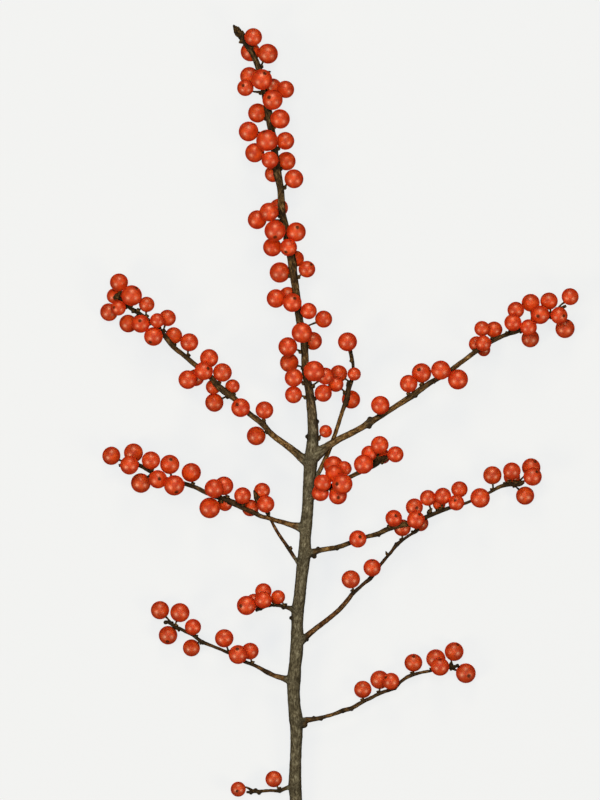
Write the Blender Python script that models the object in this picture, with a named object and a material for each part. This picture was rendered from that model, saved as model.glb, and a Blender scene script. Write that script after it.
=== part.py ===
"""Cut branch of a deciduous holly in fruit: bare wood with red berries, lying on its back on a surface.

All sizes below are in millimetres. The XY plane is the surface that the branch lies on, +Y runs towards the
tip of the leader, and +Z points up. The origin is the middle of the bottom of the whole branch's box.
"""
import math

import bpy
from mathutils import Vector

MM = 0.001
SEAT_GAP = 0.3          # berries and stalks stay this far off the bark
BERRY_APART = 0.5       # berries of two nodes stay this far apart
BERRY_PRESS = 0.3       # berries of one node grow this much into each other
HEIGHT_STEP = 0.1       # step of the search for a free height
STALK_RADIUS = 0.4
STALK_START = 0.75      # where a stalk's tube begins, above the bark
STALK_CLEAR = 0.25      # a stalk stays this far off wood and other nodes' berries
STALK_LEANS = (1.5, 0.0, 3.0, -1.5, 4.5)   # tries at how far below its berry a stalk leaves the twig
SPUR_LEANS = (0.0, 2.0, -2.0, 4.0, -4.0, 6.0)   # tries at where along the twig a shared spur sits
SPUR_TURNS = 16         # directions round the twig that are tried for a shared spur
LINK_RADIUS = 0.7       # contact patch between two berries that grew pressed together
LINK_REACH = 1.2        # widest gap that a contact patch closes
STALK_DEPTH = 0.5       # stalks and patches end this share of the radius away from a berry's centre
WAY_STEPS = 4           # fewest places that are tested along a stalk's way
HEIGHT_TRIES = 400      # steps of the height search before it gives up
BERRY_SEGMENTS = 8
BERRY_RINGS = 4
SHARP_ANGLE = math.radians(50)
BARK_COLOUR, BARK_ROUGHNESS = (0.105, 0.085, 0.05), 0.75
SKIN_COLOUR, SKIN_ROUGHNESS = (0.62, 0.05, 0.015), 0.35

# Where a berry lies: in front of its twig, beside it, behind it, or down on the surface.
OVER, BESIDE, UNDER, LOW = "over", "beside", "under", "low"

# Each twig is a route of (x, y, height of its axis, radius), from its foot to its tip.
TWIGS = {
    "stem": [
        (-18.6, -175.0, 2.6, 2.55), (-18.6, -162.0, 3.2, 2.5), (-18.5, -150.0, 4.0, 2.5),
        (-18.9, -144.5, 4.4, 2.75), (-18.8, -138.0, 4.8, 2.5), (-18.5, -129.0, 5.4, 2.35),
        (-18.3, -120.0, 6.0, 2.65), (-18.5, -116.5, 6.3, 2.9), (-19.2, -110.0, 6.8, 2.6),
        (-19.5, -104.0, 7.3, 2.65), (-19.4, -99.5, 7.6, 2.9), (-18.9, -94.0, 8.0, 2.6),
        (-18.3, -88.0, 8.4, 2.7), (-18.0, -82.0, 8.8, 2.7), (-18.0, -76.0, 9.2, 2.45),
        (-17.7, -70.0, 9.5, 2.6), (-16.9, -64.0, 9.8, 2.5), (-16.3, -58.0, 10.1, 2.45),
        (-15.5, -51.0, 10.4, 2.7), (-14.8, -45.5, 10.6, 2.7), (-14.6, -40.0, 10.8, 2.35),
        (-14.3, -35.0, 11.0, 2.6), (-13.7, -29.0, 11.2, 2.4), (-13.3, -22.0, 11.4, 2.4),
        (-12.9, -15.0, 11.6, 2.5), (-12.3, -8.0, 11.8, 2.9), (-11.6, -1.0, 11.9, 2.5),
        (-11.3, 5.0, 12.0, 2.3), (-11.6, 10.0, 12.0, 2.1), (-12.0, 15.0, 12.0, 2.0),
        (-12.9, 22.0, 12.0, 1.75), (-14.4, 30.0, 12.0, 1.6), (-14.8, 38.0, 12.0, 1.5),
        (-15.3, 44.0, 12.0, 1.55), (-17.0, 52.0, 12.0, 1.55), (-18.2, 62.0, 12.0, 1.5),
        (-19.4, 70.0, 11.9, 1.6), (-20.0, 75.0, 11.8, 1.8), (-21.3, 82.0, 11.7, 1.6),
        (-23.0, 91.0, 11.6, 1.5), (-24.3, 97.0, 11.5, 1.45), (-25.0, 107.0, 11.3, 1.4),
        (-26.3, 113.5, 11.2, 1.7), (-27.2, 120.0, 11.0, 1.5), (-28.0, 127.0, 10.9, 1.4),
        (-29.3, 134.0, 10.8, 1.55), (-30.2, 140.0, 10.7, 1.55), (-31.6, 146.5, 10.5, 1.35),
        (-33.5, 155.0, 10.4, 1.3), (-35.5, 161.0, 10.3, 1.2), (-38.0, 165.8, 10.2, 1.1),
        (-41.0, 169.6, 10.1, 1.1), (-42.8, 172.9, 10.1, 1.4), (-44.1, 175.1, 10.1, 0.5),
    ],
    "upper_left": [
        (-12.5, -9.5, 11.8, 2.0), (-15.8, -6.5, 11.9, 1.9), (-19.2, -3.5, 12.0, 1.5),
        (-23.8, 0.0, 12.0, 1.3), (-28.8, 3.8, 12.0, 1.2), (-32.7, 8.1, 11.9, 1.2),
        (-38.5, 12.7, 11.6, 1.1), (-44.2, 18.5, 11.2, 1.2), (-48.8, 21.9, 11.0, 1.45),
        (-51.9, 24.6, 10.8, 1.2), (-54.2, 27.7, 10.6, 1.2), (-60.8, 32.8, 10.3, 1.05),
        (-66.5, 37.6, 10.0, 0.95), (-69.7, 40.1, 9.9, 1.0), (-72.7, 43.7, 9.8, 1.0),
        (-75.6, 47.3, 9.7, 0.95), (-80.0, 51.2, 9.5, 0.85), (-85.1, 54.9, 9.4, 0.85),
        (-88.3, 56.8, 9.3, 0.8), (-91.2, 59.7, 9.2, 0.75), (-93.8, 61.6, 9.1, 0.6),
    ],
    "mid_left": [
        (-13.8, -37.4, 11.0, 2.2), (-16.9, -35.4, 11.0, 1.9), (-20.1, -34.5, 11.0, 1.2),
        (-23.6, -33.4, 11.0, 1.0), (-26.7, -32.6, 11.0, 0.95), (-30.0, -31.5, 10.9, 0.9),
        (-33.0, -30.8, 10.8, 0.85), (-36.2, -29.3, 10.7, 0.85), (-40.0, -27.6, 10.6, 1.0),
        (-44.3, -25.4, 10.5, 1.3), (-47.3, -24.0, 10.4, 1.05), (-51.2, -22.9, 10.3, 0.9),
        (-57.3, -20.3, 10.2, 0.95), (-60.5, -18.7, 10.1, 0.85), (-64.6, -17.3, 10.0, 0.9),
        (-70.0, -15.9, 9.9, 0.9), (-75.0, -14.4, 9.8, 0.9), (-79.7, -11.9, 9.7, 0.85),
        (-83.8, -9.6, 9.6, 0.8), (-88.0, -8.8, 9.5, 0.75), (-93.0, -9.5, 9.3, 0.6),
    ],
    "slanting": [
        (-15.8, -52.6, 10.2, 1.1), (-17.6, -50.3, 9.8, 0.85), (-18.9, -48.5, 9.4, 0.7),
        (-21.5, -44.4, 8.8, 0.8), (-24.9, -39.6, 8.3, 0.65), (-27.4, -35.5, 8.1, 0.65),
        (-29.6, -31.2, 8.1, 0.6), (-31.2, -28.6, 8.8, 0.55), (-32.2, -26.0, 10.0, 0.5),
    ],
    "left_spur": [
        (-17.2, -71.7, 9.4, 1.6), (-19.8, -70.0, 9.5, 1.2), (-22.5, -69.0, 9.6, 0.8),
        (-25.5, -68.3, 9.7, 0.7), (-29.2, -68.2, 9.9, 0.65), (-32.8, -69.2, 10.0, 0.8),
        (-35.5, -70.5, 10.0, 0.55),
    ],
    "lower_left": [
        (-18.3, -101.9, 7.4, 2.2), (-21.0, -99.9, 7.5, 1.8), (-24.5, -98.7, 7.6, 1.15),
        (-27.5, -97.8, 7.7, 0.95), (-30.7, -96.3, 7.8, 1.0), (-34.2, -94.3, 8.0, 0.75),
        (-37.3, -92.9, 8.2, 0.7), (-39.8, -92.0, 8.3, 0.75), (-42.8, -90.3, 8.4, 0.7),
        (-46.2, -88.5, 8.5, 0.65), (-50.0, -86.8, 8.6, 0.6), (-55.0, -84.8, 8.7, 0.65),
        (-57.7, -83.7, 8.8, 0.8), (-61.9, -80.8, 8.8, 0.6), (-65.0, -79.2, 8.8, 0.65),
        (-67.5, -77.9, 8.8, 0.7), (-69.6, -77.0, 8.8, 0.65), (-71.5, -75.4, 8.8, 0.8),
        (-73.7, -75.3, 8.8, 0.55),
    ],
    "bottom_left": [
        (-18.4, -143.6, 4.6, 1.5), (-21.7, -144.9, 4.5, 0.9), (-23.5, -145.5, 4.5, 0.75),
        (-25.3, -146.2, 4.5, 0.75), (-29.4, -146.2, 4.4, 0.6), (-35.0, -146.6, 4.4, 0.7),
        (-39.4, -146.9, 4.3, 0.5),
    ],
    "upper_right": [
        (-12.5, -7.7, 11.8, 2.6), (-9.0, -4.2, 12.0, 2.4), (-5.5, -1.6, 12.2, 1.75),
        (-2.0, 0.7, 12.4, 1.45), (0.0, 1.8, 12.5, 1.35), (5.0, 4.3, 12.6, 1.3),
        (10.0, 7.0, 12.7, 1.3), (12.3, 8.5, 12.7, 1.7), (15.0, 10.1, 12.7, 1.2),
        (20.0, 13.2, 12.6, 1.1), (25.0, 16.4, 12.5, 1.1), (30.5, 20.0, 12.4, 1.3),
        (34.2, 22.8, 12.3, 1.2), (38.4, 25.6, 12.2, 1.05), (43.8, 28.7, 12.0, 1.0),
        (47.1, 31.0, 11.8, 1.0), (50.0, 33.2, 11.6, 0.95), (55.0, 36.9, 11.4, 0.95),
        (59.5, 40.2, 11.2, 1.0), (64.1, 42.9, 11.0, 0.9), (70.1, 45.6, 10.7, 0.85),
        (75.0, 47.2, 10.5, 1.0), (79.0, 49.4, 10.3, 0.8), (83.5, 51.3, 10.1, 0.8),
        (87.3, 52.8, 9.9, 0.85), (91.5, 55.8, 9.7, 0.7), (95.1, 57.7, 9.5, 0.6),
    ],
    "back": [
        (-12.3, -18.6, 11.0, 1.1), (-10.2, -14.8, 10.1, 0.9), (-8.7, -12.0, 9.4, 0.8),
        (-4.7, -3.3, 8.3, 0.75), (-3.0, 1.2, 8.1, 0.7), (-1.5, 5.4, 8.2, 0.65),
        (1.2, 13.8, 8.8, 0.75), (2.7, 17.9, 9.3, 1.0), (3.8, 23.5, 9.5, 0.95),
        (5.0, 26.6, 9.5, 0.7), (5.5, 31.9, 9.6, 0.6), (5.1, 35.6, 9.6, 0.7),
        (4.4, 38.3, 9.6, 0.75),
    ],
    "front": [
        (-12.6, -23.6, 12.0, 1.3), (-10.0, -21.8, 15.0, 1.15), (-5.0, -18.9, 18.5, 1.0),
        (0.0, -16.3, 21.5, 1.0), (5.0, -13.8, 24.0, 0.9), (10.0, -11.3, 26.2, 0.95),
        (14.7, -8.9, 28.3, 1.1), (18.1, -6.3, 30.0, 1.15), (20.3, -6.0, 30.6, 0.75),
    ],
    "mid_right": [
        (-14.5, -47.1, 10.6, 2.2), (-11.5, -45.9, 10.8, 1.5), (-9.0, -45.2, 10.9, 1.15),
        (-6.0, -44.6, 11.0, 1.0), (-1.5, -43.9, 11.1, 1.0), (3.5, -42.2, 11.2, 0.95),
        (7.5, -40.6, 11.2, 0.85), (11.0, -39.4, 11.2, 0.8), (15.5, -38.3, 11.1, 1.0),
        (20.0, -36.2, 11.0, 1.05), (23.5, -34.9, 10.9, 1.1), (27.0, -34.2, 10.8, 1.05),
        (31.0, -33.2, 10.7, 0.95), (36.2, -31.1, 10.5, 0.9), (40.3, -29.4, 10.3, 0.85),
        (43.8, -28.0, 10.2, 0.85), (47.5, -26.8, 10.1, 0.75), (53.0, -25.2, 9.9, 0.6),
        (58.5, -22.8, 9.8, 0.6), (63.2, -20.6, 9.7, 0.6), (67.2, -18.4, 9.5, 0.75),
        (70.3, -17.5, 9.4, 0.9), (73.1, -17.3, 9.3, 0.9), (75.6, -17.4, 9.2, 0.8),
        (77.3, -16.3, 9.2, 0.55),
    ],
    "inner_right": [
        (-16.5, -83.4, 8.8, 1.8), (-13.8, -81.0, 8.9, 1.3), (-11.0, -78.7, 9.0, 1.1),
        (-5.0, -74.0, 9.2, 1.0), (0.0, -69.7, 9.3, 0.95), (3.8, -65.3, 9.3, 0.95),
        (5.3, -63.3, 9.3, 0.85), (7.7, -61.2, 9.3, 0.7), (10.4, -58.8, 9.3, 0.7),
        (12.7, -56.9, 9.3, 0.9), (15.0, -54.0, 9.2, 0.7), (17.3, -50.8, 9.0, 0.65),
        (21.5, -45.8, 8.7, 0.65), (23.8, -42.9, 8.4, 0.85), (26.9, -40.4, 8.1, 0.55),
        (30.0, -38.3, 7.9, 0.55), (32.1, -37.2, 7.8, 0.65), (33.2, -36.2, 7.8, 0.5),
    ],
    "lower_right": [
        (-17.0, -118.2, 6.2, 2.0), (-15.0, -116.8, 6.3, 1.35), (-12.5, -116.3, 6.4, 1.1),
        (-10.0, -116.0, 6.5, 0.95), (-6.0, -115.0, 6.7, 0.75), (-1.5, -113.6, 6.9, 0.75),
        (1.2, -112.5, 7.0, 0.95), (5.0, -111.4, 7.2, 0.85), (9.6, -108.8, 7.3, 0.8),
        (12.3, -107.5, 7.3, 0.7), (17.3, -105.0, 7.4, 0.75), (20.8, -103.8, 7.4, 0.75),
        (23.1, -102.7, 7.4, 0.9), (25.4, -100.5, 7.4, 0.65), (28.5, -98.3, 7.3, 0.75),
        (30.8, -97.4, 7.3, 0.7), (34.6, -96.4, 7.2, 0.6), (37.9, -95.8, 7.1, 0.6),
        (42.0, -95.0, 7.0, 0.6), (46.2, -94.3, 6.9, 0.75), (47.7, -94.2, 6.9, 0.75),
        (49.6, -93.5, 6.8, 0.5),
    ],
}

# Berries that sit against each other form one node. Each is (x, y, where it lies, width).
BERRIES = {
    "stem": [
        [(-37.8, 164.7, UNDER, 8.2), (-30.2, 163.8, LOW, 8.6), (-36.4, 170.7, OVER, 7.5)],
        [(-38.3, 154.2, UNDER, 7.8), (-39.8, 149.2, BESIDE, 7.0), (-32.8, 152.7, OVER, 8.9)],
        [(-28.0, 149.9, UNDER, 7.0), (-22.7, 148.6, BESIDE, 7.4), (-25.0, 136.2, BESIDE, 8.3),
         (-28.4, 144.1, OVER, 8.6)],
        [(-34.8, 138.8, UNDER, 8.2), (-38.6, 130.9, BESIDE, 8.4), (-36.0, 122.0, UNDER, 8.2),
         (-30.7, 127.2, OVER, 9.2)],
        [(-28.2, 113.3, UNDER, 7.2), (-22.4, 118.6, UNDER, 7.9), (-22.8, 127.0, BESIDE, 7.6),
         (-19.2, 111.1, BESIDE, 8.1), (-29.5, 118.9, OVER, 7.2)],
        [(-25.8, 99.0, UNDER, 7.9), (-30.0, 97.0, OVER, 8.0), (-35.0, 93.8, BESIDE, 8.0)],
        [(-28.6, 82.3, UNDER, 7.9), (-27.3, 88.9, OVER, 8.9)],
        [(-18.4, 77.6, UNDER, 6.8), (-18.4, 88.7, BESIDE, 8.2), (-21.7, 82.0, OVER, 7.3)],
        [(-13.8, 73.1, BESIDE, 7.1)],
        [(-25.5, 71.7, UNDER, 8.7), (-22.0, 62.0, UNDER, 7.5), (-27.1, 60.7, BESIDE, 7.9),
         (-13.0, 55.5, BESIDE, 7.0), (-20.0, 59.0, OVER, 8.0)],
        [(-11.2, 43.0, UNDER, 7.7), (-6.7, 52.1, BESIDE, 7.3), (-16.1, 46.5, OVER, 8.7)],
        [(-22.1, 40.5, BESIDE, 8.1), (-21.5, 33.8, LOW, 8.0), (-19.6, 27.5, OVER, 7.8),
         (-19.7, 20.3, BESIDE, 7.3)],
        [(-6.9, 21.0, BESIDE, 7.4), (-6.0, 28.2, BESIDE, 7.2), (-10.7, 30.3, OVER, 8.8)],
        [(-5.9, 5.0, BESIDE, 5.5)],
    ],
    "back": [
        [(-1.9, 24.8, UNDER, 6.6), (-0.7, 29.2, BESIDE, 7.4), (6.0, 29.1, OVER, 5.7)],
        [(3.1, 42.7, BESIDE, 8.1)],
        [(4.8, 18.4, UNDER, 7.8)],
    ],
    "upper_left": [
        [(-95.0, 61.9, UNDER, 6.6), (-97.3, 54.9, LOW, 7.6), (-92.9, 67.7, BESIDE, 7.7),
         (-81.2, 58.4, BESIDE, 6.6), (-93.2, 56.7, OVER, 6.4), (-87.4, 62.1, OVER, 8.8),
         (-72.4, 52.7, BESIDE, 7.1), (-76.7, 51.6, OVER, 6.2)],
        [(-89.2, 50.1, LOW, 7.6), (-83.7, 50.1, OVER, 7.6), (-78.4, 44.6, BESIDE, 8.0)],
        [(-69.9, 45.3, UNDER, 7.2), (-63.3, 42.5, BESIDE, 7.7)],
        [(-60.8, 27.4, UNDER, 7.2), (-54.9, 35.8, BESIDE, 7.8), (-64.1, 26.5, BESIDE, 8.0),
         (-57.1, 30.3, OVER, 7.8)],
        [(-45.2, 23.9, UNDER, 6.2), (-49.3, 29.8, BESIDE, 8.0)],
        [(-53.4, 23.6, UNDER, 6.4), (-53.0, 16.9, LOW, 7.9)],
        [(-41.8, 14.9, OVER, 8.0)],
        [(-31.7, 14.0, BESIDE, 7.6)],
        [(-35.4, 2.9, LOW, 8.0)],
    ],
    "mid_left": [
        [(-86.9, -4.0, LOW, 8.1), (-96.3, -5.3, LOW, 7.8), (-88.6, -9.3, OVER, 8.0)],
        [(-79.4, -7.1, BESIDE, 7.8), (-71.5, -8.9, BESIDE, 8.2), (-62.5, -12.2, BESIDE, 8.2)],
        [(-83.9, -17.0, LOW, 8.4), (-76.4, -15.2, OVER, 7.8), (-69.5, -17.9, OVER, 8.7)],
        [(-48.8, -17.8, UNDER, 8.0), (-53.0, -18.9, OVER, 8.0)],
        [(-48.5, -25.5, UNDER, 6.5), (-37.8, -27.2, UNDER, 7.2), (-54.9, -27.4, BESIDE, 8.8),
         (-40.9, -21.9, BESIDE, 7.2)],
    ],
    "slanting": [
        [(-32.8, -19.9, BESIDE, 6.9), (-31.2, -25.5, OVER, 7.4)],
    ],
    "left_spur": [
        [(-36.4, -66.5, UNDER, 6.5), (-26.1, -64.6, BESIDE, 6.0), (-32.3, -62.2, BESIDE, 7.0),
         (-39.4, -68.2, BESIDE, 8.2), (-32.3, -65.7, OVER, 7.2)],
    ],
    "lower_left": [
        [(-75.8, -70.2, LOW, 7.8), (-72.3, -81.0, LOW, 7.9), (-67.2, -71.1, BESIDE, 8.2),
         (-61.8, -77.1, OVER, 6.9)],
        [(-62.6, -86.3, LOW, 7.3)],
        [(-48.7, -81.9, BESIDE, 7.9), (-37.8, -87.3, UNDER, 7.3), (-42.8, -88.7, OVER, 8.1)],
    ],
    "bottom_left": [
        [(-27.9, -141.2, LOW, 7.1)],
        [(-42.8, -145.6, LOW, 6.4)],
    ],
    "upper_right": [
        [(94.8, 48.0, LOW, 8.2), (96.8, 61.6, BESIDE, 7.3), (87.8, 59.8, BESIDE, 7.4),
         (80.1, 59.1, BESIDE, 7.6), (92.1, 53.5, OVER, 7.2), (84.0, 53.8, OVER, 7.9)],
        [(80.2, 43.8, LOW, 7.6), (73.8, 56.0, BESIDE, 7.1), (72.6, 50.7, OVER, 7.3),
         (79.3, 48.5, OVER, 7.0)],
        [(57.4, 41.8, UNDER, 6.5), (60.6, 39.3, UNDER, 5.8), (59.6, 48.2, BESIDE, 6.5),
         (64.8, 47.8, BESIDE, 7.1), (60.2, 42.0, OVER, 6.8)],
        [(49.7, 26.6, BESIDE, 8.6), (42.3, 30.8, OVER, 8.2), (28.8, 25.1, BESIDE, 7.5),
         (34.2, 29.5, BESIDE, 8.3)],
        [(16.9, 16.1, BESIDE, 7.9)],
    ],
    "front": [
        [(-2.7, -9.3, 12.0, 8.2), (1.8, -10.5, 17.0, 6.4), (-8.4, -20.9, OVER, 7.2),
         (-7.4, -16.5, OVER, 7.2), (-0.9, -22.0, BESIDE, 7.7), (-2.6, -12.6, BESIDE, 7.4),
         (0.8, -17.1, OVER, 8.7)],
        [(18.0, -5.4, UNDER, 6.4), (12.2, -4.2, UNDER, 6.8), (23.3, -4.6, BESIDE, 6.9),
         (16.6, -0.5, BESIDE, 7.5), (9.6, -8.7, OVER, 8.2)],
    ],
    "mid_right": [
        [(64.1, -13.4, LOW, 7.8)],
        [(78.0, -22.3, LOW, 7.8), (72.4, -14.2, UNDER, 7.0), (80.5, -10.2, LOW, 7.9),
         (72.2, -11.6, BESIDE, 7.5), (81.0, -14.0, OVER, 7.8)],
        [(59.0, -23.0, OVER, 8.4)],
        [(41.7, -25.6, UNDER, 5.4), (50.2, -19.3, BESIDE, 7.0), (36.9, -22.9, BESIDE, 6.8),
         (43.2, -22.1, OVER, 7.1), (48.8, -25.0, OVER, 6.7), (31.3, -26.9, BESIDE, 7.3),
         (31.9, -32.1, OVER, 7.5)],
        [(7.5, -40.2, OVER, 7.4)],
        [(22.6, -31.5, OVER, 7.1)],
    ],
    "inner_right": [
        [(33.9, -33.6, UNDER, 6.9)],
        [(26.2, -35.5, UNDER, 7.2)],
        [(13.5, -52.2, OVER, 7.4)],
        [(4.5, -57.1, BESIDE, 7.9)],
    ],
    "lower_right": [
        [(9.6, -103.5, LOW, 7.4)],
        [(16.7, -99.4, LOW, 8.0), (21.3, -100.0, OVER, 7.2)],
        [(30.9, -92.3, LOW, 7.6)],
        [(40.4, -90.6, LOW, 8.2), (48.1, -87.6, LOW, 8.0), (53.0, -96.9, LOW, 8.4),
         (42.0, -93.8, OVER, 7.8)],
    ],
}


def material(name, colour, roughness):
    """Principled material with a linear base colour."""
    made = bpy.data.materials.new(name)
    made.use_nodes = True
    shader = made.node_tree.nodes["Principled BSDF"]
    shader.inputs["Base Color"].default_value = (*colour, 1.0)
    shader.inputs["Roughness"].default_value = roughness
    shader.inputs["Metallic"].default_value = 0.0
    return made


def on_segment(point, start, end):
    """Share of the way from start to end at which the segment comes nearest to the point."""
    along = end - start
    return max(0.0, min(1.0, (point - start).dot(along) / along.length_squared))


def twig_under(route, x, y, lean=0.0):
    """Axis point, radius and direction of the twig where it passes nearest to (x, y), seen from above."""
    best = None
    for (x0, y0, z0, r0), (x1, y1, z1, r1) in zip(route, route[1:]):
        start, end = Vector((x0, y0, 0.0)), Vector((x1, y1, 0.0))
        share = on_segment(Vector((x, y, 0.0)), start, end)
        share = max(0.0, share - lean / (end - start).length)
        flat = start.lerp(end, share)
        distance = (flat - Vector((x, y, 0.0))).length
        if best is None or distance < best[0]:
            axis = Vector((flat.x, flat.y, z0 + (z1 - z0) * share))
            direction = (Vector((x1, y1, z1)) - Vector((x0, y0, z0))).normalized()
            best = (distance, axis, r0 + (r1 - r0) * share, direction)
    return best[1:]


WOOD = [
    (Vector(one[:3]), Vector(two[:3]), one[3], two[3])
    for route in TWIGS.values()
    for one, two in zip(route, route[1:])
]


def clear_of_wood(centre, radius):
    """True where a ball at this place stays the seat gap away from every twig."""
    for start, end, r0, r1 in WOOD:
        reach = radius + r0 + r1 + SEAT_GAP
        if abs(centre.x - start.x) > reach + abs(end.x - start.x):
            continue
        if abs(centre.y - start.y) > reach + abs(end.y - start.y):
            continue
        share = on_segment(centre, start, end)
        wood_radius = r0 + (r1 - r0) * share
        if (centre - start.lerp(end, share)).length < radius + wood_radius + SEAT_GAP:
            return False
    return True


def clear_of_berries(centre, radius, node, placed):
    """True where a berry presses no deeper than it may into the berries that are already placed."""
    for other, other_radius, owner in placed:
        gap = -BERRY_PRESS if owner == node else BERRY_APART
        if (centre - other).length < radius + other_radius + gap:
            return False
    return True


def berry_height(x, y, place, radius, node, placed):
    """Height of a berry's centre: as near to its twig as the wood and the other berries let it be."""
    axis = twig_under(TWIGS[node.twig], x, y)[0]
    first = {OVER: axis.z, UNDER: axis.z, BESIDE: axis.z, LOW: radius}.get(place, place)
    turn = {OVER: (1,), LOW: (1,), UNDER: (-1,)}.get(place, (1, -1))
    step = 0
    while True:
        for way in turn:
            height = first + way * step * HEIGHT_STEP
            if height < radius:
                continue
            centre = Vector((x, y, height))
            if clear_of_wood(centre, radius) and clear_of_berries(centre, radius, node, placed):
                return height
        step += 1
        if step > HEIGHT_TRIES:
            raise ValueError(f"no room for the berry at {x}, {y}")


class Node:
    """One group of berries: its name, its twig and, once placed, its berries as (centre, radius)."""

    def __init__(self, twig, number, rows):
        self.name = f"berries_{twig}_{number:02d}"
        self.twig = twig
        self.rows = rows
        self.berries = []


def place_berries():
    """All berry nodes with every berry at its height, the ones behind the twigs first."""
    nodes = [
        Node(twig, number, rows)
        for twig, groups in BERRIES.items()
        for number, rows in enumerate(groups, 1)
    ]
    placed = []
    for turn in ((UNDER, LOW), (BESIDE,), (OVER,)):
        for node in nodes:
            for x, y, place, width in node.rows:
                rank = place if isinstance(place, str) else BESIDE
                if rank in turn:
                    radius = width / 2
                    centre = Vector((x, y, berry_height(x, y, place, radius, node, placed)))
                    placed.append((centre, radius, node))
                    node.berries.append((centre, radius))
    return nodes, placed


def tube(name, points, sides_level):
    """Closed mesh object along a route of (place, radius), with flat ends."""
    curve = bpy.data.curves.new(name, "CURVE")
    curve.dimensions = "3D"
    curve.bevel_depth = MM
    curve.bevel_resolution = sides_level
    curve.use_fill_caps = True
    spline = curve.splines.new("POLY")
    spline.points.add(len(points) - 1)
    for point, (place, radius) in zip(spline.points, points):
        point.co = (*(Vector(place) * MM), 1.0)
        point.radius = radius
    holder = bpy.data.objects.new(name, curve)
    bpy.context.collection.objects.link(holder)
    depsgraph = bpy.context.evaluated_depsgraph_get()
    mesh = bpy.data.meshes.new_from_object(holder.evaluated_get(depsgraph))
    bpy.data.objects.remove(holder)
    return solid(name, mesh)


def solid(name, mesh):
    """Object for a mesh, linked to the scene."""
    made = bpy.data.objects.new(name, mesh)
    bpy.context.collection.objects.link(made)
    return made


def ball(name, centre, radius):
    """Berry body: a low sphere with its poles above and below."""
    bpy.ops.mesh.primitive_uv_sphere_add(
        segments=BERRY_SEGMENTS, ring_count=BERRY_RINGS, radius=radius * MM, location=centre * MM
    )
    made = bpy.context.object
    made.name = name
    return made


def join(name, pieces, finish):
    """Boolean union of the pieces into the first one, left as one closed body."""
    base = pieces[0]
    for piece in pieces[1:]:
        union = base.modifiers.new("union", "BOOLEAN")
        union.operation = "UNION"
        union.solver = "EXACT"
        union.object = piece
    depsgraph = bpy.context.evaluated_depsgraph_get()
    mesh = bpy.data.meshes.new_from_object(base.evaluated_get(depsgraph))
    mesh.name = name
    mesh.transform(base.matrix_world)
    made = solid(name, mesh)
    for piece in pieces:
        bpy.data.objects.remove(piece)
    mesh.materials.clear()
    mesh.materials.append(finish)
    mesh.shade_smooth()
    mesh.set_sharp_from_angle(angle=SHARP_ANGLE)
    return made


def stalk_end(start, centre, radius):
    """Place inside the berry, on the line from the stalk's start to its centre."""
    return start.lerp(centre, 1.0 - STALK_DEPTH * radius / (centre - start).length)


def way_is_clear(start, end, node, placed):
    """True where a straight stalk keeps off all wood and the other nodes' berries."""
    steps = max(WAY_STEPS, int((end - start).length))
    for step in range(steps + 1):
        point = start.lerp(end, step / steps)
        if not clear_of_wood(point, STALK_RADIUS + STALK_CLEAR - SEAT_GAP):
            return False
        for other, other_radius, owner in placed:
            if owner != node and (point - other).length < other_radius + STALK_RADIUS + STALK_CLEAR:
                return False
    return True


def stalk(foot, centre, radius):
    """Straight stalk from its foot into its berry."""
    return tube("stalk", [(foot, STALK_RADIUS), (stalk_end(foot, centre, radius), STALK_RADIUS)], 0)


def own_foot(node, centre, radius, placed):
    """Start of a berry's own stalk, just off the bark; None where its neighbours hide it altogether."""
    for lean in STALK_LEANS:
        axis, wood_radius, direction = twig_under(TWIGS[node.twig], centre.x, centre.y, lean)
        out = centre - axis
        out -= direction * out.dot(direction)
        start = axis + out.normalized() * (wood_radius + STALK_START)
        if way_is_clear(start, stalk_end(start, centre, radius), node, placed):
            return start
    return None


def spur_foot(node, bunches, placed):
    """Shared start of one stalk to each bunch, and the berries that those stalks reach."""
    everyone = [berry for bunch in bunches for berry in bunch]
    middle = sum((centre for centre, radius in everyone), Vector()) / len(everyone)
    best = None
    for lean in SPUR_LEANS:
        axis, wood_radius, direction = twig_under(TWIGS[node.twig], middle.x, middle.y, lean)
        side = direction.cross(Vector((0.0, 0.0, 1.0))).normalized()
        for turn in range(SPUR_TURNS):
            angle = 2 * math.pi * turn / SPUR_TURNS
            out = side * math.cos(angle) + side.cross(direction).normalized() * math.sin(angle)
            start = axis + out * (wood_radius + STALK_START)
            reached = []
            for bunch in bunches:
                clear = [
                    berry for berry in bunch
                    if way_is_clear(start, stalk_end(start, *berry), node, placed)
                ]
                if clear:
                    reached.append(min(clear, key=lambda berry: (berry[0] - start).length))
            length = sum((centre - start).length for centre, radius in reached)
            rank = (-len(reached), length)
            if best is None or rank < best[0]:
                best = (rank, start, reached)
    return best[1], best[2]


def bunches_of(berries):
    """Berries sorted into bunches that touch, with the pairs that touch in each."""
    bunches = []
    pairs = []
    for berry in berries:
        centre, radius = berry
        touching = []
        for bunch in bunches:
            gap, near = min(
                ((centre - other).length - radius - other_radius, index)
                for index, (other, other_radius) in enumerate(bunch)
            )
            if gap < LINK_REACH:
                touching.append(bunch)
                pairs.append((berry, bunch[near]))
        merged = [berry]
        for bunch in touching:
            merged = bunch + merged
            bunches.remove(bunch)
        bunches.append(merged)
    return bunches, pairs


def contact_patch(one, two):
    """Short neck where two berries grew pressed together."""
    (centre, radius), (other, other_radius) = one, two
    way = (other - centre).normalized()
    return tube("patch", [
        (centre + way * radius * STALK_DEPTH, LINK_RADIUS),
        (other - way * other_radius * STALK_DEPTH, LINK_RADIUS),
    ], 0)


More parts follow.
